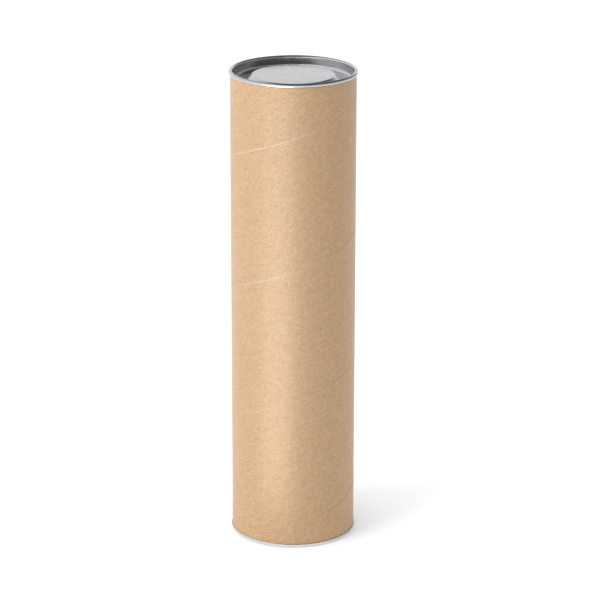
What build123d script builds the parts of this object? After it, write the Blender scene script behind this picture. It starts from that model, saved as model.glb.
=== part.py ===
from build123d import *
import math
import os

# Cylindrical gift tube box. A spiral-wound kraft tube stands in a crimped tinplate bottom
# end and is closed by a tinplate plug lid, which pulls straight up and off.
# Millimetres, +Z up. The origin is the centre of the ring that the box stands on, and the
# front of the box faces -Y.

# The whole box
tube_diameter = 86.0
overall_height = 332.0

# Wall of the paper tube, from the outside in
wrap_thickness = 0.20
core_ply_thickness = 0.28
liner_thickness = 0.18
glue_line = 0.05

# Winding. Every ply is a strip laid on the same slow helix, and its neighbouring turns meet
# at an open butt seam. The spacing is from seam to seam, measured square to the seam.
strip_spacing = 88.0
wrap_butt_gap = 0.35
core_butt_gap = 0.50
liner_butt_gap = 0.35
# Height of the wrap's lowest seam at the front of the box
wrap_seam_height = 15.2
# Core plies from the outside in, each with its seam in turns of the helix above the wrap's
core_ply_names = ("core_ply_outer", "core_ply_middle", "core_ply_inner")
core_seam_shares = (0.29, 0.57, 0.83)
liner_seam_share = 0.43

# Tinplate of both ends, and the fit of their walls in the bore
tinplate_thickness = 0.25
bore_fit_clearance = 0.08

# Plug lid. Depths are measured down from the top of the rolled rim, to the bare face, and
# the bends of both stampings are measured at the middle of the metal.
rim_curl_radius = 1.395
rim_curl_turn_degrees = 310.0
rim_seat_gap = 0.05
lid_panel_depth = 3.4
plug_depth = 8.0
lid_groove_width = 7.4
lid_flank_run = 5.8
lid_panel_edge_bend = 0.9
lid_flank_foot_bend = 1.6
lid_groove_bend = 2.6

# Bottom end. Heights are measured up from the foot, to the bare face.
end_panel_height = 5.0
end_panel_ring_width = 7.0
end_panel_step_rise = 1.2
end_panel_step_run = 1.6
end_panel_bend = 0.8
end_wall_bend = 1.2
end_foot_bend = 0.575
end_skirt_height = 2.3
end_hem_foot_height = 0.9
end_hem_gap = 0.06
end_skirt_clearance = 0.03
end_seat_gap = 0.03

# How far a cut runs past what it cuts, and the same in turns of the helix
cut_overrun = 1.0
lead_share = 0.05
# How closely the ends of two half turns meet where they become one strip
joining_tolerance = 0.0001

# Radii through the tube's wall
tube_radius = tube_diameter / 2
core_thickness = len(core_ply_names) * (core_ply_thickness + glue_line) - glue_line
core_radius = tube_radius - wrap_thickness - glue_line
liner_radius = core_radius - core_thickness - glue_line
bore_radius = liner_radius - liner_thickness

# Climb of a seam in one full turn round the tube
tube_girth = math.pi * tube_diameter
seam_pitch = strip_spacing * tube_girth / math.sqrt(tube_girth ** 2 - strip_spacing ** 2)

# The walls of both stampings stand in the bore, with the middle of the metal at this radius
half_thickness = tinplate_thickness / 2
wall_radius = bore_radius - bore_fit_clearance - half_thickness

# The crimp leaves room for its own bend under the corner of the tube's cut edge
inner_foot_bend = end_foot_bend - half_thickness
bend_reach = inner_foot_bend - bore_fit_clearance
bend_rise = inner_foot_bend - math.sqrt(inner_foot_bend ** 2 - bend_reach ** 2)
tube_bottom = tinplate_thickness + bend_rise + end_seat_gap

# The rolled rim sits on the tube's upper cut edge
tube_top = overall_height - 2 * rim_curl_radius - rim_seat_gap
tube_height = tube_top - tube_bottom


def half_turn(outer_radius, thickness, butt_gap):
    """Return the first half turn of a ply's strip, which starts centred on height 0 at +X."""
    middle_radius = outer_radius - thickness / 2
    lean = math.atan(seam_pitch / (2 * math.pi * middle_radius))
    upright_width = seam_pitch - butt_gap / math.cos(lean)
    wall = Plane.XZ * Pos(middle_radius, 0)
    half_sleeve = revolve(
        wall * Rectangle(thickness, 3 * seam_pitch), axis=Axis.Z, revolution_arc=180
    )
    path = Helix(seam_pitch, (0.5 + 2 * lead_share) * seam_pitch, middle_radius)
    band = Rectangle(thickness + 2 * cut_overrun, upright_width)
    climbing_band = sweep(wall * band, path=path, is_frenet=True)
    lead_in = Pos(0, 0, -lead_share * seam_pitch) * Rot(0, 0, -360 * lead_share)
    return half_sleeve & lead_in * climbing_band


def wound_ply(outer_radius, thickness, butt_gap, seam_height):
    """Return one ply: a strip wound edge to edge up the tube and cut off at both ends."""
    upright = (Align.CENTER, Align.CENTER, Align.MIN)
    tube_span = Cylinder(outer_radius + cut_overrun, tube_height, align=upright)
    tube_span = Pos(0, 0, tube_bottom) * tube_span
    strip = half_turn(outer_radius, thickness, butt_gap)
    start_height = seam_height % seam_pitch - 3 * seam_pitch / 2
    half_turns = []
    for step in range(math.ceil(2 * (tube_height / seam_pitch + 3))):
        climb = Pos(0, 0, start_height + step * seam_pitch / 2) * Rot(0, 0, 180 * step - 90)
        cut_to_length = climb * strip & tube_span
        if cut_to_length:
            half_turns.append(cut_to_length)
    return half_turns[0].fuse(*half_turns[1:], glue=True, tol=joining_tolerance)


def paper_tube():
    """Return the five plies of the wall by name, from the outside in."""
    plies = {
        "outer_kraft_wrap": wound_ply(
            tube_radius, wrap_thickness, wrap_butt_gap, wrap_seam_height
        )
    }
    for place, (name, share) in enumerate(zip(core_ply_names, core_seam_shares)):
        outer_radius = core_radius - place * (core_ply_thickness + glue_line)
        seam_height = wrap_seam_height + share * seam_pitch
        plies[name] = wound_ply(outer_radius, core_ply_thickness, core_butt_gap, seam_height)
    liner_seam_height = wrap_seam_height + liner_seam_share * seam_pitch
    plies["inner_liner"] = wound_ply(
        liner_radius, liner_thickness, liner_butt_gap, liner_seam_height
    )
    return plies


def pressed_sheet(middle_line):
    """Return a round stamping from the middle line of the metal in its half section."""
    section = make_face(middle_line.offset_2d(half_thickness))
    past_the_axis = Rectangle(cut_overrun, 3 * overall_height, align=(Align.MAX, Align.CENTER))
    return revolve(Plane.XZ * (section - past_the_axis), axis=Axis.Z)


def plug_lid():
    """Return the lid: raised panel, sloping flank, groove, plug wall and rolled rim."""
    panel_height = overall_height - lid_panel_depth - half_thickness
    groove_height = overall_height - plug_depth - half_thickness
    curl_height = overall_height - rim_curl_radius
    curl_radius = rim_curl_radius - half_thickness
    flank_foot_radius = wall_radius - lid_groove_width
    pan = FilletPolyline(
        (0, panel_height),
        (flank_foot_radius - lid_flank_run, panel_height),
        (flank_foot_radius, groove_height),
        (wall_radius, groove_height),
        (wall_radius, curl_height),
        radius=(lid_panel_edge_bend, lid_flank_foot_bend, lid_groove_bend),
    )
    curl_centre = (wall_radius + curl_radius, curl_height)
    curl = CenterArc(curl_centre, curl_radius, 180, -rim_curl_turn_degrees)
    return pressed_sheet(Wire(pan.edges() + curl.edges()))


def bottom_end():
    """Return the bottom end: stepped panel, inner wall, foot land and hemmed skirt."""
    ring_height = end_panel_height + half_thickness
    centre_height = ring_height + end_panel_step_rise
    step_foot_radius = wall_radius - end_panel_ring_width
    hem_radius = tube_radius + end_skirt_clearance + half_thickness
    fold_radius = (tinplate_thickness + end_hem_gap) / 2
    fold_height = end_skirt_height - fold_radius - half_thickness
    skirt_radius = hem_radius + 2 * fold_radius
    dish = FilletPolyline(
        (0, centre_height),
        (step_foot_radius - end_panel_step_run, centre_height),
        (step_foot_radius, ring_height),
        (wall_radius, ring_height),
        (wall_radius, half_thickness),
        (skirt_radius, half_thickness),
        (skirt_radius, fold_height),
        radius=(end_panel_bend, end_panel_bend, end_wall_bend, end_foot_bend, end_foot_bend),
    )
    fold = CenterArc((hem_radius + fold_radius, fold_height), fold_radius, 0, 180)
    leg = Line((hem_radius, fold_height), (hem_radius, end_hem_foot_height))
    return pressed_sheet(Wire(dish.edges() + fold.edges() + leg.edges()))


def main():
    pieces = paper_tube()
    pieces["bottom_end"] = bottom_end()
    pieces["plug_lid"] = plug_lid()
    os.makedirs("parts", exist_ok=True)
    for name, piece in pieces.items():
        export_step(piece, f"parts/{name}.step")
        print(name, "volume", round(piece.volume, 2))
    print("tube from", round(tube_bottom, 3), "to", round(tube_top, 3))
    print("bore radius", round(bore_radius, 3), "seam pitch", round(seam_pitch, 3))


main()
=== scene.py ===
# %% [markdown]
# This lesson dresses a tall round gift tube. A kraft paper tube, wound in a spiral, stands in a
# crimped tinplate bottom end and is closed by a tinplate lid that plugs its mouth. The sizes and
# places come from a fixed model of the box, which is loaded first and never moved. All lengths
# are in metres, +Z is up and the front of the box faces -Y.

# %% Load the fixed model
import math

import bmesh
import bpy
from mathutils import Matrix, Vector, noise


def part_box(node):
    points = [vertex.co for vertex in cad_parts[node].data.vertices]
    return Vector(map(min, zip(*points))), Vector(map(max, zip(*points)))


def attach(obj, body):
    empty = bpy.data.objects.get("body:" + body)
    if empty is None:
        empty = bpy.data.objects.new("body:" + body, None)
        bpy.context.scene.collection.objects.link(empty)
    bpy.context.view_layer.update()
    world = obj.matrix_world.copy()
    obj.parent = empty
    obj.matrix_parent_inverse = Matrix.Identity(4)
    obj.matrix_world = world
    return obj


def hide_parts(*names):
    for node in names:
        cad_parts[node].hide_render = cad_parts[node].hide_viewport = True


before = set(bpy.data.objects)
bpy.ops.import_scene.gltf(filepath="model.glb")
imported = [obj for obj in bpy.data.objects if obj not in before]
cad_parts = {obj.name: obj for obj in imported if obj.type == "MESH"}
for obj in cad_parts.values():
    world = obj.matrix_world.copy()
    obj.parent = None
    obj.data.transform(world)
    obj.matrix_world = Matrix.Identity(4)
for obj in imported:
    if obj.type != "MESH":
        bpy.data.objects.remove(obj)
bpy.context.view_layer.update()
print("nodes", sorted(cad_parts))

# %% [markdown]
# Two measures of the fixed model are wanted again and again: how far a node reaches from the
# axis, and where it starts and ends in height. The reach is the smallest of the four directions,
# so that what is built on it stays inside the fixed model.

# %% Measure the nodes
def reach(node):
    """Return how far a round node reaches from the axis."""
    low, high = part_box(node)
    return min(high.x, high.y, -low.x, -low.y)


def span(node):
    """Return the lowest and the highest height of a node."""
    low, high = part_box(node)
    return low.z, high.z


for node_name in sorted(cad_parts):
    print(node_name, "reach", round(reach(node_name), 5), "span", span(node_name))

# %% [markdown]
# A finished bmesh becomes a piece in one way throughout: a mesh, an object at the origin, one
# material, and then the calls that say which body it moves with and hide the node of the fixed
# model that it stands for. The place of a piece is in its mesh.

# %% Turn a bmesh into a piece
def add_object(name, data):
    """Return a new object that holds the data and stands in the scene."""
    holder = bpy.data.objects.new(name, data)
    bpy.context.scene.collection.objects.link(holder)
    return holder


def add_mesh(name, bm, material):
    """Return a new object whose mesh is a finished bmesh in one material."""
    mesh = bpy.data.meshes.new(name)
    bm.to_mesh(mesh)
    bm.free()
    mesh.materials.append(material)
    return add_object(name, mesh)


def make_piece(name, bm, material, body, node):
    """Return a smooth shaded piece that rides on a body and stands for a node."""
    piece = add_mesh(name, bm, material)
    piece.data.shade_smooth()
    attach(piece, body)
    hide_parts(node)
    print(name, "has", len(piece.data.polygons), "faces before its modifiers")
    return piece


# %% [markdown]
# Paper and tinplate are both thin sheets, so each new piece is drawn as one bare surface. Two
# modifiers finish it: Solidify gives the sheet its thickness, inwards from the surface or half
# to each side, and Bevel rounds the cut edges. The angle limit keeps the Bevel off every bend.

# %% Give a surface its wall
all_inwards = -1.0
half_each_way = 0.0
sheet_edge_segments = 2
sheet_edge_degrees = 60.0


def add_wall(piece, thickness, offset, edge_round):
    """Give a bare surface its thickness, and round the edges of the sheet a little."""
    wall = piece.modifiers.new("wall", "SOLIDIFY")
    wall.thickness = thickness
    wall.offset = offset
    wall.use_even_offset = True
    wall.use_quality_normals = True
    rounding = piece.modifiers.new("rounding", "BEVEL")
    rounding.width = edge_round
    rounding.segments = sheet_edge_segments
    rounding.limit_method = "ANGLE"
    rounding.angle_limit = math.radians(sheet_edge_degrees)
    rounding.harden_normals = True


print("edges sharper than", sheet_edge_degrees, "degrees are rounded")

# %% [markdown]
# A material is a small tree of nodes. Most of the trees below need noise of a certain grain, so
# one helper places a noise texture behind a Mapping node and sets the size of its patches in
# real lengths along each axis. Another one reads what a mesh stores at its points.

# %% Start a material and give it grain
plain_detail = 2.0
fibre_detail = 3.0


def new_material(name):
    """Return a material with its node tree and its main shader."""
    material = bpy.data.materials.new(name)
    material.use_nodes = True
    tree = material.node_tree
    return material, tree, tree.nodes["Principled BSDF"]


def read_attribute(tree, name, output):
    """Return one output of a node that reads an attribute of the mesh."""
    node = tree.nodes.new("ShaderNodeAttribute")
    node.attribute_name = name
    return node.outputs[output]


def grain(tree, place, patch, detail=plain_detail, distortion=0.0):
    """Return the output of noise whose patches measure patch = (x, y, z) in metres."""
    mapping = tree.nodes.new("ShaderNodeMapping")
    mapping.inputs["Scale"].default_value = [1 / size for size in patch]
    tree.links.new(place, mapping.inputs["Vector"])
    texture = tree.nodes.new("ShaderNodeTexNoise")
    texture.inputs["Scale"].default_value = 1.0
    texture.inputs["Detail"].default_value = detail
    texture.inputs["Distortion"].default_value = distortion
    tree.links.new(mapping.outputs["Vector"], texture.inputs["Vector"])
    return texture.outputs["Fac"]


print("plain grain has detail", plain_detail, "and fibre", fibre_detail)

# %% [markdown]
# Noise swings about one half. To lay several grains over each other, each swing is weighed by
# its own strength and added to one half again, so that the sum can drive a mix of two colours or
# a height. A second helper maps a value from one range to another, which picks out flecks and
# sets how rough a surface is.

# %% Add up grains and map ranges
noise_middle = 0.5


def math_node(tree, operation, first, second, third=None):
    """Return the output of a Math node. Each input is a number or another node's output."""
    node = tree.nodes.new("ShaderNodeMath")
    node.operation = operation
    for socket, value in zip(node.inputs, (first, second, third)):
        if isinstance(value, bpy.types.NodeSocket):
            tree.links.new(value, socket)
        elif value is not None:
            socket.default_value = value
    return node.outputs["Value"]


def add_up(tree, strengths, grains):
    """Return one half plus the swing of each grain times its strength."""
    total = noise_middle
    for strength, one_grain in zip(strengths, grains):
        swing = math_node(tree, "SUBTRACT", one_grain, noise_middle)
        total = math_node(tree, "MULTIPLY_ADD", swing, strength, total)
    return total


def remap(tree, value, source, target):
    """Return a value mapped from a source range to a target range and held inside it."""
    node = tree.nodes.new("ShaderNodeMapRange")
    tree.links.new(value, node.inputs["Value"])
    limits = zip(("From Min", "From Max", "To Min", "To Max"), (*source, *target))
    for name, number in limits:
        node.inputs[name].default_value = number
    return node.outputs["Result"]


print("grain swings about", noise_middle)

# %% [markdown]
# The last two helpers end most of the trees: a mix of two colours, and a fine relief. A Mix node
# has sockets of one name for numbers, vectors and colours, so those for colours are picked by
# their place. The relief goes to the shader's normal and moves no point of the mesh, so it suits
# fibres and rolling lines that are two hundredths of a millimetre high or less.

# %% Mix colours and add a relief
mix_first_input = 6
mix_second_input = 7
mix_output = 2


def mix_colours(tree, share, first, second):
    """Return a mix of two colours. Each one is a plain colour or another node's output."""
    node = tree.nodes.new("ShaderNodeMix")
    node.data_type = "RGBA"
    tree.links.new(share, node.inputs["Factor"])
    for place, colour in ((mix_first_input, first), (mix_second_input, second)):
        if isinstance(colour, bpy.types.NodeSocket):
            tree.links.new(colour, node.inputs[place])
        else:
            node.inputs[place].default_value = (*colour, 1.0)
    return node.outputs[mix_output]


def add_bump(tree, shader, height, distance):
    """Feed a height, from 0 to 1 and worth distance in metres, to a shader's normal."""
    bump = tree.nodes.new("ShaderNodeBump")
    bump.inputs["Strength"].default_value = 1.0
    bump.inputs["Distance"].default_value = distance
    tree.links.new(height, bump.inputs["Height"])
    tree.links.new(bump.outputs["Normal"], shader.inputs["Normal"])


# %% [markdown]
# The outside of the tube is one long strip of bare kraft paper. Brown wood fibres give it a
# cloudy mottle a few millimetres wide, a finer grain that runs along the strip, and a few dark
# flecks. An image of paper would repeat and blur, so the finish is built from noise. Each point
# of the strip knows how far along and across the strip it lies, in an attribute named strip,
# and the noise reads that, so the grain follows the winding and breaks at every seam. A second
# attribute says how pale the edge of the paper is there: partly scuffed to pale torn fibre, and
# partly a painted highlight of the raised lip of each seam.

# %% Kraft paper
kraft_dark = (0.33, 0.188, 0.080)
kraft_light = (0.82, 0.512, 0.272)
kraft_fleck = (0.30, 0.17, 0.085)
# Pale seam edge colour: partly torn fibre, partly a painted highlight of the raised lip.
kraft_torn_fibre_and_highlight = (0.96, 0.82, 0.66)
cloud_patch = (0.0075, 0.0045, 1.0)
mottle_patch = (0.0028, 0.0016, 1.0)
mottle_distortion = 0.6
fibre_patch = (0.0014, 0.0009, 1.0)
fibre_distortion = 1.2
fuzz_patch = (0.00035, 0.00022, 1.0)
cloud_mottle_fibre_fuzz_tones = (0.25, 0.4, 1.1, 0.8)
mottle_fibre_fuzz_heights = (0.6, 1.0, 0.8)
kraft_relief = 0.000012
fleck_patch = (0.0032, 0.0009, 1.0)
fleck_noise_range = (0.71, 0.78)
fleck_share_range = (0.0, 0.15)
fibre_noise_range = (0.3, 0.7)
kraft_roughness_range = (0.38, 0.46)
kraft_gloss = 0.8


def kraft_paper():
    """Return the bare kraft paper of the outer wrap."""
    material, tree, shader = new_material("kraft_paper")
    place = read_attribute(tree, "strip", "Vector")
    cloud = grain(tree, place, cloud_patch)
    mottle = grain(tree, place, mottle_patch, distortion=mottle_distortion)
    fibre = grain(tree, place, fibre_patch, fibre_detail, fibre_distortion)
    fuzz = grain(tree, place, fuzz_patch)
    tone = add_up(tree, cloud_mottle_fibre_fuzz_tones, (cloud, mottle, fibre, fuzz))
    paper = mix_colours(tree, tone, kraft_dark, kraft_light)
    fleck = grain(tree, place, fleck_patch, detail=0.0)
    fleck = remap(tree, fleck, fleck_noise_range, fleck_share_range)
    paper = mix_colours(tree, fleck, paper, kraft_fleck)
    # Mix in the pale seam edge, which is partly torn fibre and partly painted highlight.
    pale_edge_share = read_attribute(tree, "edge_wear_and_highlight", "Fac")
    paper = mix_colours(tree, pale_edge_share, paper, kraft_torn_fibre_and_highlight)
    tree.links.new(paper, shader.inputs["Base Color"])
    roughness = remap(tree, fibre, fibre_noise_range, kraft_roughness_range)
    tree.links.new(roughness, shader.inputs["Roughness"])
    shader.inputs["Specular IOR Level"].default_value = kraft_gloss
    height = add_up(tree, mottle_fibre_fuzz_heights, (mottle, fibre, fuzz))
    add_bump(tree, shader, height, kraft_relief)
    return material


kraft = kraft_paper()
print("kraft paper has", len(kraft.node_tree.nodes), "nodes")

# %% [markdown]
# Under the wrap lie three plies of board and a white liner. The board shows only as thin rings
# at the tube's cut edges, and at the bottom of the open seams, but it still gets its own finish:
# grey-brown, rough and uneven. The plies keep the meshes of the fixed model, which know nothing
# of the strip, so the noise reads Object coordinates. Its patches are longer round the tube than
# up it, because the fibres lie nearly level.

# %% Core board
board_dark = (0.30, 0.23, 0.16)
board_light = (0.50, 0.40, 0.30)
board_blotch_patch = (0.0016, 0.0016, 0.0007)
board_fibre_patch = (0.0004, 0.0004, 0.0002)
blotch_fibre_tones = (0.9, 0.9)
board_roughness = 0.85
board_relief = 0.00002


def core_board():
    """Return the rough board of the core plies."""
    material, tree, shader = new_material("core_board")
    place = tree.nodes.new("ShaderNodeTexCoord").outputs["Object"]
    blotch = grain(tree, place, board_blotch_patch)
    fibre = grain(tree, place, board_fibre_patch, fibre_detail)
    tone = add_up(tree, blotch_fibre_tones, (blotch, fibre))
    tree.links.new(mix_colours(tree, tone, board_dark, board_light), shader.inputs["Base Color"])
    shader.inputs["Roughness"].default_value = board_roughness
    add_bump(tree, shader, tone, board_relief)
    return material


board = core_board()
print("core board has", len(board.node_tree.nodes), "nodes")

# %% [markdown]
# The liner is smooth white paper with a faint cloud. It is wound as the wrap is, so its noise
# reads the strip attribute too.

# %% Liner paper
liner_shade = (0.74, 0.72, 0.67)
liner_light = (0.83, 0.81, 0.77)
liner_cloud_patch = (0.006, 0.004, 1.0)
liner_fibre_patch = (0.0009, 0.0004, 1.0)
cloud_fibre_tones = (0.6, 0.7)
liner_roughness = 0.5
liner_relief = 0.000006


def liner_paper():
    """Return the smooth white paper of the liner."""
    material, tree, shader = new_material("liner_paper")
    place = read_attribute(tree, "strip", "Vector")
    cloud = grain(tree, place, liner_cloud_patch)
    fibre = grain(tree, place, liner_fibre_patch, fibre_detail)
    tone = add_up(tree, cloud_fibre_tones, (cloud, fibre))
    tree.links.new(mix_colours(tree, tone, liner_shade, liner_light), shader.inputs["Base Color"])
    shader.inputs["Roughness"].default_value = liner_roughness
    add_bump(tree, shader, tone, liner_relief)
    return material


liner = liner_paper()
print("liner paper has", len(liner.node_tree.nodes), "nodes")

# %% [markdown]
# The lid and the bottom end are pressed from tinplate, thin steel with a bright tin coat. It is
# a metal, so its colour is the colour of its reflections. Rolling leaves faint straight lines
# in the sheet, which show as a slight change of roughness and a relief of a fraction of a
# micron. The lines run one way across the whole blank, so they read Object coordinates. The
# skirt of the bottom end is given a paler colour than the lid, which is painted reflection, and
# a less glossy range, so each stamping has its own colour and its own range of roughness.

# %% Tinplate
lid_tin_colour = (0.55, 0.555, 0.57)
lid_tin_roughness_range = (0.17, 0.25)
# The bottom end's colour is paler than the lid's on the same tin: the difference is painted
# reflection.
end_tin_painted_pale_colour = (0.71, 0.705, 0.70)
end_tin_roughness_range = (0.20, 0.30)
rolling_patch = (0.018, 0.00035, 0.0006)
handling_patch = (0.009, 0.009, 0.009)
rolling_handling_tones = (0.8, 0.7)
satin_noise_range = (0.2, 0.8)
tin_relief = 0.0000006


def tinplate(name, colour, roughness_range):
    """Return tinplate of one colour, whose roughness stays in a range."""
    material, tree, shader = new_material(name)
    place = tree.nodes.new("ShaderNodeTexCoord").outputs["Object"]
    rolling = grain(tree, place, rolling_patch, fibre_detail)
    handling = grain(tree, place, handling_patch)
    satin = add_up(tree, rolling_handling_tones, (rolling, handling))
    shader.inputs["Base Color"].default_value = (*colour, 1.0)
    shader.inputs["Metallic"].default_value = 1.0
    roughness = remap(tree, satin, satin_noise_range, roughness_range)
    tree.links.new(roughness, shader.inputs["Roughness"])
    add_bump(tree, shader, rolling, tin_relief)
    return material


lid_tin = tinplate("tinplate_lid", lid_tin_colour, lid_tin_roughness_range)
end_tin_painted_pale = tinplate("tinplate_end", end_tin_painted_pale_colour, end_tin_roughness_range)
print("each tinplate has", len(lid_tin.node_tree.nodes), "nodes")

# %% [markdown]
# The wrap and the liner are wound the same way. A strip as wide as one climb of the helix, less
# the open butt seam, is a vertical line that is spun round the axis and lifted a little with
# every step. bmesh.ops.spin does both at once, with an angle and a dvec. One turn is made that
# way, a second spin stacks copies of it, each a full climb higher, and the turns are welded end
# to end. Spinning all the turns point by point gives the same mesh but takes far longer. Two
# plane cuts then trim the ends, as the saw does on the real tube. A cylinder with a seam painted
# on would have no edge to catch the light.

# %% Sizes of the winding
strip_spacing = 0.088
tube_radius = reach("outer_kraft_wrap")
tube_girth = math.tau * tube_radius
seam_climb = strip_spacing * tube_girth / math.sqrt(tube_girth ** 2 - strip_spacing ** 2)
wrap_seam_height = 0.0152
liner_seam_share = 0.43
wrap_thickness = 0.0002
liner_thickness = 0.00018
wrap_seam_gap = 0.00022
liner_seam_gap = 0.00035
steps_per_turn = 160
paper_edge_round = 0.00004
print("a seam climbs", round(seam_climb * 1000, 2), "mm in one turn")

# %% [markdown]
# The upper edge of each turn is pushed up slightly where the next turn was laid against it, and
# made pale: partly scuffed so that pale fibres show, partly a painted highlight of the raised
# lip. The line that is spun carries both: how far each point rises and how pale it is. Its
# points are close together at both edges of the strip and far apart between them. The share in
# lip_fall_shares is how far a point lies into the pale margin. The lip falls away with the
# square of what is left of the margin, and the pale share with its cube. The lower edge is flat
# and less pale.

# %% Seed line of a strip
lip_width = 0.0011
lip_height = 0.00007
lip_fall_shares = (0.0, 0.12, 0.3, 0.55, 1.0)
lower_edge_pale_share = 0.35
strip_rows = 9


def seed_line(width, lip):
    """Return (across, rise, pale share) for each point of the line, from the lower edge up."""
    rows = []
    for share in lip_fall_shares:
        rows.append((share * lip_width, 0.0, lower_edge_pale_share * (1 - share) ** 3))
    inner = width - 2 * lip_width
    for row in range(1, strip_rows):
        rows.append((lip_width + inner * row / strip_rows, 0.0, 0.0))
    for share in reversed(lip_fall_shares):
        left = 1 - share
        rows.append((width - share * lip_width, lip * left ** 2, left ** 3))
    return rows


wrap_rows = seed_line(seam_climb - wrap_seam_gap, lip_height)
print("the wrap has", len(wrap_rows), "points across", round(wrap_rows[-1][0], 5), "m")

# %% [markdown]
# The spin copies both attributes to every new point, and they are finished once the point has
# its place. The strip attribute gets how far the point lies along the strip, worked out from how
# far it has climbed. The pale share is thinned out by place, because it is as much a painted
# highlight as wear: the seams are pale at the left of the front, where the light falls, dark at
# the right and fainter near the foot.

# %% Wind a strip into a tube
# The painted highlight of the seams, mixed with their wear, is brightest at this angle and fades
# round the tube and near the foot.
pale_side_degrees = -30.0
pale_fade_height = 0.28
foot_fade = 0.2
pale_side_power = 3
weld_distance = 0.000001
cut_tolerance = 0.0000001


def mark_strip(bm, start):
    """Store how far each point lies along the strip, and keep the pale seam edges, wear and
    painted highlight, mostly on the lit side.
    """
    strip = bm.verts.layers.float_vector["strip"]
    pale_edge_layer = bm.verts.layers.float["edge_wear_and_highlight"]
    for vert in bm.verts:
        across = vert[strip].y
        along = (vert.co.z - start - across) / seam_climb * tube_girth
        vert[strip] = (along, across, 0.0)
        side = math.atan2(vert.co.x, -vert.co.y) - math.radians(pale_side_degrees)
        foot_faded = foot_fade * max(1 - vert.co.z / pale_fade_height, 0.0)
        pale_side_share = (0.5 + 0.5 * math.cos(side)) * (1 - foot_faded)
        vert[pale_edge_layer] *= pale_side_share ** pale_side_power


def wind_strip(radius, gap, seam_height, bottom, top, lip):
    """Return a bmesh of a strip's outer face, wound edge to edge and cut off at both ends."""
    bm = bmesh.new()
    strip = bm.verts.layers.float_vector.new("strip")
    pale_edge_layer = bm.verts.layers.float.new("edge_wear_and_highlight")
    turns_below = math.ceil((seam_height - bottom) / seam_climb) + 1
    start = seam_height - turns_below * seam_climb + gap / 2
    seed = []
    for across, rise, pale_share in seed_line(seam_climb - gap, lip):
        vert = bm.verts.new((0.0, -(radius + rise), start + across))
        vert[strip] = (0.0, across, 0.0)
        vert[pale_edge_layer] = pale_share
        seed.append(vert)
    for pair in zip(seed, seed[1:]):
        bm.edges.new(pair)
    bmesh.ops.spin(
        bm, geom=bm.verts[:] + bm.edges[:], cent=(0, 0, 0), axis=(0, 0, 1),
        dvec=(0, 0, seam_climb / steps_per_turn), angle=math.tau, steps=steps_per_turn,
        use_merge=False,
    )
    bmesh.ops.spin(
        bm, geom=bm.verts[:] + bm.edges[:] + bm.faces[:], cent=(0, 0, 0), axis=(0, 0, 1),
        dvec=(0, 0, seam_climb), angle=0.0, steps=math.ceil((top - start) / seam_climb),
        use_merge=False, use_duplicate=True,
    )
    bmesh.ops.remove_doubles(bm, verts=bm.verts[:], dist=weld_distance)
    mark_strip(bm, start)
    for height, lower_goes in ((bottom, True), (top, False)):
        bmesh.ops.bisect_plane(
            bm, geom=bm.verts[:] + bm.edges[:] + bm.faces[:], dist=cut_tolerance,
            plane_co=(0, 0, height), plane_no=(0, 0, 1),
            clear_inner=lower_goes, clear_outer=not lower_goes,
        )
    return bm


print("seams are palest", pale_side_degrees, "degrees from the front")

# %% [markdown]
# No butt seam is quite even: the strip wanders by less than a tenth of a millimetre as it is
# wound. Smooth noise moves the points near each edge up or down a little, and the two edges read
# it far apart, so that they don't wander together. The cut ends must stay flat, so the points on
# them stay where they are. Near the foot the hem of the bottom end grips the paper, so there the
# lip is pressed back to the tube.

# %% Let the seams wander, and press the lip flat
seam_wander = 0.00007
wander_length = 0.011
wander_width = 0.0025
edges_apart = 7.0
cut_end_margin = 0.000001


def wander_seams(bm, width, bottom, top):
    """Move the edges of a strip up and down a little, except on the two cut ends."""
    strip = bm.verts.layers.float_vector["strip"]
    for vert in bm.verts:
        along, across, _ = vert[strip]
        edge_distance = min(across, width - across)
        on_cut_end = min(vert.co.z - bottom, top - vert.co.z) < cut_end_margin
        if edge_distance > wander_width or on_cut_end:
            continue
        side = 1.0 if across > width / 2 else -1.0
        swing = noise.noise((along / wander_length, edges_apart * side, 0.0))
        vert.co.z += swing * seam_wander * (1 - edge_distance / wander_width)


def press_flat(bm, radius, height):
    """Press the lip of a seam down to the tube below a height, where the hem grips it."""
    for vert in bm.verts:
        if vert.co.z < height:
            from_axis = Vector((vert.co.x, vert.co.y))
            if from_axis.length > radius:
                from_axis.length = radius
                vert.co.xy = from_axis


print("seams wander by up to", round(seam_wander * 1000, 3), "mm")

# %% [markdown]
# The wrap takes all of these steps in turn. Its normals are recalculated while it is still a
# bare surface, before Solidify gives it two faces, so that they all point away from the axis and
# the wall grows inwards.

# %% Outer wrap
tube_bottom, tube_top = span("outer_kraft_wrap")
hem_top = span("bottom_end")[1]

wrap_mesh = wind_strip(
    tube_radius, wrap_seam_gap, wrap_seam_height, tube_bottom, tube_top, lip_height
)
wander_seams(wrap_mesh, seam_climb - wrap_seam_gap, tube_bottom, tube_top)
press_flat(wrap_mesh, tube_radius, hem_top)
bmesh.ops.recalc_face_normals(wrap_mesh, faces=wrap_mesh.faces[:])
wrap = make_piece(
    "wound_kraft_wrap", wrap_mesh, kraft, "tube", "outer_kraft_wrap"
)
add_wall(wrap, wrap_thickness, all_inwards, paper_edge_round)

# %% [markdown]
# The liner is wound by the same function, at its own radius and with its seam higher up. On a
# real tube it is wound first, on a smooth steel bar, so its seam has no lip and doesn't wander.

# %% Liner
liner_seam_height = wrap_seam_height + liner_seam_share * seam_climb
liner_mesh = wind_strip(
    reach("inner_liner"), liner_seam_gap, liner_seam_height, tube_bottom, tube_top, 0.0
)
bmesh.ops.recalc_face_normals(liner_mesh, faces=liner_mesh.faces[:])
lining = make_piece("wound_liner", liner_mesh, liner, "tube", "inner_liner")
add_wall(lining, liner_thickness, all_inwards, paper_edge_round)

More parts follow.
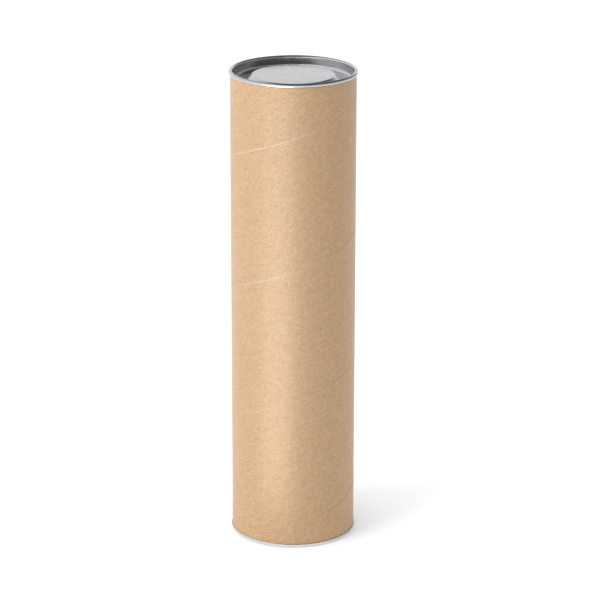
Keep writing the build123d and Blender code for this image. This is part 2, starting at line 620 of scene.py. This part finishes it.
# %% [markdown]
# The three core plies keep the meshes of the fixed model, because their shape is right and only
# their cut edges show. They only need the board finish in place of the plain one.

# %% Core plies
for ply_name in ("core_ply_outer", "core_ply_middle", "core_ply_inner"):
    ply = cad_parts[ply_name]
    ply.data.materials.clear()
    ply.data.materials.append(board)
    print(ply_name, "keeps its", len(ply.data.polygons), "faces")

# %% [markdown]
# Both stampings are round, so each is drawn as the middle line of the metal in half section and
# spun a full turn. The line starts as a few corner points joined by edges. A vertex bevel rounds
# each corner to the bend that the press gives it: an offset of radius times the tangent of half
# the turn makes a true arc.

# %% Draw the middle line of a stamping
bend_segments = 10


def draw_line(corners):
    """Return a bmesh of one chain of edges through (radius, height) corners, and its points."""
    bm = bmesh.new()
    verts = [bm.verts.new((radius, 0.0, height)) for radius, height in corners]
    for pair in zip(verts, verts[1:]):
        bm.edges.new(pair)
    return bm, verts


def bend_corners(bm, verts, radii):
    """Round each corner of the chain between its two ends to its own bend radius."""
    for vert, radius in zip(verts[1:-1], radii):
        before, after = [edge.other_vert(vert).co - vert.co for edge in vert.link_edges]
        turn = math.pi - before.angle(after)
        bmesh.ops.bevel(
            bm, geom=[vert], offset=radius * math.tan(turn / 2), offset_type="OFFSET",
            segments=bend_segments, profile=0.5, affect="VERTICES", material=-1,
        )


print("each bend has", bend_segments, "segments")

# %% [markdown]
# The edge of each stamping is rolled over: outwards and almost closed on the lid, inwards and
# flat on the bottom end. Spinning the last vertex of the line round a centre beside it draws
# that roll. After the full spin, the seam and the pole in the middle are closed by merging
# points that lie on each other.

# %% Roll the edge and spin the line
outwards = 1.0
inwards = -1.0
roll_step_degrees = 9.0
round_steps = 192
closing_distance = 0.0000001


def roll_edge(bm, vert, direction, radius, degrees):
    """Roll the line's end vertex round a centre beside it, and return the new last vertex."""
    centre = vert.co + Vector((direction * radius, 0.0, 0.0))
    rolled = bmesh.ops.spin(
        bm, geom=[vert], cent=centre, axis=(0, 1, 0), dvec=(0, 0, 0),
        angle=direction * math.radians(degrees),
        steps=math.ceil(degrees / roll_step_degrees), use_merge=False,
    )
    return [item for item in rolled["geom_last"] if isinstance(item, bmesh.types.BMVert)][0]


def spin_round(bm):
    """Spin the line a full turn and close its seam and its pole."""
    bmesh.ops.spin(
        bm, geom=bm.verts[:] + bm.edges[:], cent=(0, 0, 0), axis=(0, 0, 1), dvec=(0, 0, 0),
        angle=math.tau, steps=round_steps, use_merge=True,
    )
    bmesh.ops.remove_doubles(bm, verts=bm.verts[:], dist=closing_distance)
    bmesh.ops.recalc_face_normals(bm, faces=bm.faces[:])


print("a stamping has", round_steps, "steps round")

# %% [markdown]
# The lid is a shallow pan. A flat panel lies a little under the rim, a slope runs down round it
# to a groove, the outer wall of the groove plugs the tube, and the rim is rolled over the cut
# edge. The real one is pressed from one disc, so it is one piece here too.

# %% Sizes of the plug lid
tin_thickness = 0.00025
half_tin = tin_thickness / 2
tin_edge_round = 0.00008
rim_curl_radius = 0.001395
rim_curl_degrees = 310.0
lid_panel_depth = 0.0034
plug_depth = 0.0080
lid_groove_width = 0.0074
lid_flank_run = 0.0058
lid_panel_edge_bend = 0.0009
lid_flank_foot_bend = 0.0016
lid_groove_bend = 0.0026

rim_top = span("plug_lid")[1]
plug_radius = reach("plug_lid") - 2 * rim_curl_radius + half_tin
panel_height = rim_top - lid_panel_depth - half_tin
groove_height = rim_top - plug_depth - half_tin
flank_foot = plug_radius - lid_groove_width
print("the plug stands", round(plug_radius * 1000, 3), "mm from the axis")

# %% [markdown]
# The line of the lid starts in the middle of its panel and ends at the top of the plug wall,
# where the rim is rolled outwards. The end point is kept by name before the corners are bent,
# because the bends add points to the line.

# %% Plug lid
lid_mesh, lid_corners = draw_line([
    (0.0, panel_height),
    (flank_foot - lid_flank_run, panel_height),
    (flank_foot, groove_height),
    (plug_radius, groove_height),
    (plug_radius, rim_top - rim_curl_radius),
])
lid_rim_start = lid_corners[-1]
bend_corners(
    lid_mesh, lid_corners, (lid_panel_edge_bend, lid_flank_foot_bend, lid_groove_bend)
)
roll_edge(lid_mesh, lid_rim_start, outwards, rim_curl_radius - half_tin, rim_curl_degrees)
spin_round(lid_mesh)
lid = make_piece("pressed_plug_lid", lid_mesh, lid_tin, "lid", "plug_lid")
add_wall(lid, tin_thickness, half_each_way, tin_edge_round)

# %% [markdown]
# The bottom end is crimped on. Its stepped panel lies inside the tube, its wall runs down the
# bore at the same radius as the lid's plug, turns out under the cut edge as a narrow foot, and
# comes up outside as a skirt whose edge is folded in to a hem, so that no raw edge shows.

# %% Sizes of the bottom end
end_panel_height = 0.0050
end_panel_ring_width = 0.0070
end_panel_step_rise = 0.0012
end_panel_step_run = 0.0016
end_panel_bend = 0.0008
end_wall_bend = 0.0012
end_foot_bend = 0.000575
end_skirt_height = 0.0023
end_hem_foot_height = 0.0009
end_hem_gap = 0.00006
end_hem_fold_degrees = 180.0

skirt_radius = reach("bottom_end") - half_tin
fold_radius = (tin_thickness + end_hem_gap) / 2
fold_height = end_skirt_height - fold_radius - half_tin
ring_height = end_panel_height + half_tin
centre_height = ring_height + end_panel_step_rise
step_foot = plug_radius - end_panel_ring_width
print("the skirt stands", round(skirt_radius * 1000, 3), "mm from the axis")

# %% [markdown]
# The line of the bottom end starts in the middle of its panel and ends at the top of the skirt.
# There it is folded inwards by half a turn, and one more edge drops from the fold, between the
# skirt and the paper.

# %% Bottom end
end_mesh, end_corners = draw_line([
    (0.0, centre_height),
    (step_foot - end_panel_step_run, centre_height),
    (step_foot, ring_height),
    (plug_radius, ring_height),
    (plug_radius, half_tin),
    (skirt_radius, half_tin),
    (skirt_radius, fold_height),
])
skirt_end = end_corners[-1]
bend_corners(
    end_mesh, end_corners,
    (end_panel_bend, end_panel_bend, end_wall_bend, end_foot_bend, end_foot_bend),
)
hem_start = roll_edge(end_mesh, skirt_end, inwards, fold_radius, end_hem_fold_degrees)
hem_drop = bmesh.ops.extrude_vert_indiv(end_mesh, verts=[hem_start])["verts"]
bmesh.ops.translate(end_mesh, verts=hem_drop, vec=(0, 0, end_hem_foot_height - fold_height))
spin_round(end_mesh)
bottom = make_piece(
    "crimped_bottom_end", end_mesh, end_tin_painted_pale, "tube", "bottom_end"
)
add_wall(bottom, tin_thickness, half_each_way, tin_edge_round)

# %% [markdown]
# The stage is a pale floor with a white world behind it. The camera, and every reflection, sees
# the world at strength 1, which is white. The light that it gives to dull surfaces is lower, so
# that paper keeps its colour.

# %% World
white = (1.0, 1.0, 1.0, 1.0)
ambient_level = 0.68
white_level = 1.0


def seen_directly(tree):
    """Return 1 for rays that see a surface directly, by reflection or through glass, else 0."""
    path = tree.nodes.new("ShaderNodeLightPath")
    total = math_node(
        tree, "ADD", path.outputs["Is Camera Ray"], path.outputs["Is Glossy Ray"]
    )
    total = math_node(tree, "ADD", total, path.outputs["Is Transmission Ray"])
    return math_node(tree, "MINIMUM", total, 1.0)


def make_world():
    """Light dull surfaces softly from all sides, and show white to the camera and to gloss."""
    world = bpy.data.worlds.new("studio")
    bpy.context.scene.world = world
    world.use_nodes = True
    tree = world.node_tree
    background = tree.nodes["Background"]
    background.inputs["Color"].default_value = white
    strength = remap(tree, seen_directly(tree), (0.0, 1.0), (ambient_level, white_level))
    tree.links.new(strength, background.inputs["Strength"])


make_world()
print("the world lights dull surfaces at", ambient_level)

# %% [markdown]
# The floor adds a little white of its own for the same rays, so that it is white far out and
# still takes the shadow of the box. That white fades close to the box, within contact_reach,
# where an Ambient Occlusion node says how shut in a point is. So a soft shade lies round the
# foot, as in the picture, and the box stands firmly on the floor.

# %% Floor
floor_colour = (0.88, 0.90, 0.92)
floor_white = 0.42
contact_reach = 0.09
floor_size = 5.0


def matte_material(name, colour):
    """Return a material without gloss, of one colour, whose glow is white."""
    material, tree, shader = new_material(name)
    shader.inputs["Base Color"].default_value = (*colour, 1.0)
    shader.inputs["Specular IOR Level"].default_value = 0.0
    shader.inputs["Emission Color"].default_value = white
    return material, tree, shader


def make_floor():
    """Make a wide pale floor that takes the shadow of the box."""
    bm = bmesh.new()
    bmesh.ops.create_grid(bm, x_segments=1, y_segments=1, size=floor_size)
    material, tree, shader = matte_material("floor", floor_colour)
    shader.inputs["Roughness"].default_value = 1.0
    contact = tree.nodes.new("ShaderNodeAmbientOcclusion")
    contact.inputs["Distance"].default_value = contact_reach
    glow = math_node(tree, "MULTIPLY", seen_directly(tree), floor_white)
    glow = math_node(tree, "MULTIPLY", glow, contact.outputs["AO"])
    tree.links.new(glow, shader.inputs["Emission Strength"])
    floor = add_mesh("floor", bm, material)


make_floor()
print("the floor reaches", floor_size, "m each way")

# %% [markdown]
# Bright metal shows whatever stands round it, and so does the faint gloss of the paper. In the
# picture the flat panel of the lid is pale, and the wall round it that faces the viewer is dark,
# but only half dark towards the right. A thin bright line along the front of the rim shows a low
# wide light, and a broad pale sheen left of the tube's middle shows a bright board on the floor.
# Each of these is a card that only reflections see: it takes no light from the box, adds none to
# dull surfaces and throws no shadow. Angles are counted from the front, to the right.

# %% Make the cards
black = (0.0, 0.0, 0.0)
card_steps = 48


def round_the_box(degrees, distance, height):
    """Return the place at an angle from the front, a distance from the axis and a height."""
    angle = math.radians(degrees)
    return Vector((math.sin(angle) * distance, -math.cos(angle) * distance, height))


def stage_card(name, bm, glow):
    """Stand a card round the box so that only reflections see it."""
    material, _, shader = matte_material(name, black)
    shader.inputs["Emission Strength"].default_value = glow
    card = add_mesh(name, bm, material)
    card.visible_camera = False
    card.visible_diffuse = False
    card.visible_shadow = False
    print(name, "glows", glow)


def sweep_card(name, glow, start_degrees, end_degrees, inner, outer):
    """Sweep the line between two (distance, height) points round the box between two angles."""
    bm = bmesh.new()
    ends = [
        bm.verts.new(round_the_box(start_degrees, distance, height))
        for distance, height in (inner, outer)
    ]
    edge = bm.edges.new(ends)
    bmesh.ops.spin(
        bm, geom=[*ends, edge], cent=(0, 0, 0), axis=(0, 0, 1), dvec=(0, 0, 0),
        angle=math.radians(end_degrees) - math.radians(start_degrees), steps=card_steps,
        use_merge=False,
    )
    stage_card(name, bm, glow)


def hang_card(name, glow, left, right, front, back, height):
    """Hang a flat card over the box."""
    bm = bmesh.new()
    corners = ((left, front), (right, front), (right, back), (left, back))
    bm.faces.new([bm.verts.new((x, y, height)) for x, y in corners])
    stage_card(name, bm, glow)


# %% [markdown]
# The right card is a grey wall beside the box. The front card is the low wide light, and the
# floor card is the bright board. The roof card is dark, and the wall of the lid that faces the
# viewer shows it.

# %% Place the cards
sweep_card(
    "right_card", glow=0.42, start_degrees=16, end_degrees=150,
    inner=(2.0, 0.0), outer=(2.0, 1.5),
)
sweep_card(
    "front_light_card", glow=1.5, start_degrees=-55, end_degrees=-9,
    inner=(2.2, 0.40), outer=(2.2, 1.10),
)
sweep_card(
    "floor_light_card", glow=4.4, start_degrees=-54, end_degrees=-3,
    inner=(0.12, 0.001), outer=(0.96, 0.001),
)
hang_card(
    "roof_card", glow=0.12, left=-0.6, right=3.0, front=-3.0, back=2.6, height=1.5
)

# %% [markdown]
# One large soft lamp stands at the left, well above the box. It gives the paper its bright left
# side and the floor a soft shadow on the right. Reflections don't see it, because the cards
# already draw every bright shape in them, and the lamp's own would blow out the lid. The rest of
# the light comes from the world.

# %% Lamp
lamp_degrees = -56.0
lamp_distance = 2.0
lamp_height = 1.30
lamp_aim_height = 0.18
lamp_width = 1.40
lamp_tall = 1.20
lamp_power = 28.0
lamp_colour = (0.96, 1.0, 1.0)


def make_lamp():
    """Make the soft lamp at the left."""
    light = bpy.data.lights.new("soft_lamp", "AREA")
    light.shape = "RECTANGLE"
    light.size = lamp_width
    light.size_y = lamp_tall
    light.energy = lamp_power
    light.color = lamp_colour
    lamp = add_object("soft_lamp", light)
    lamp.visible_glossy = False
    place = round_the_box(lamp_degrees, lamp_distance, lamp_height)
    aim = Vector((0.0, 0.0, lamp_aim_height))
    turn = (aim - place).to_track_quat("-Z", "Y").to_matrix().to_4x4()
    lamp.matrix_world = Matrix.Translation(place) @ turn


make_lamp()
print("lamp radiance", round(lamp_power / (math.pi * lamp_width * lamp_tall), 2))

# %% [markdown]
# The camera was worked out from the picture: a long lens, nearly two metres away, looking down
# on the box by eighteen degrees. The long lens keeps the sides of the tube nearly parallel. The
# roll is turned about the camera's own line of sight, so that it turns the picture and does not
# shift it.

# %% Camera
camera_place = (0.0023, -1.7990, 0.7539)
camera_down_degrees = 17.97
camera_roll_degrees = 0.07
camera_lens = 165.3
camera_sensor = 36.0


def make_camera():
    """Make the camera at the picture's viewing angle."""
    data = bpy.data.cameras.new("camera")
    data.lens = camera_lens
    data.sensor_width = camera_sensor
    camera = add_object("camera", data)
    tilt = Matrix.Rotation(math.radians(90 - camera_down_degrees), 4, "X")
    roll = Matrix.Rotation(math.radians(camera_roll_degrees), 4, "Z")
    camera.matrix_world = Matrix.Translation(camera_place) @ tilt @ roll
    bpy.context.scene.camera = camera


make_camera()
bpy.context.scene.view_settings.view_transform = "Standard"
print("camera looks down by", camera_down_degrees, "degrees")
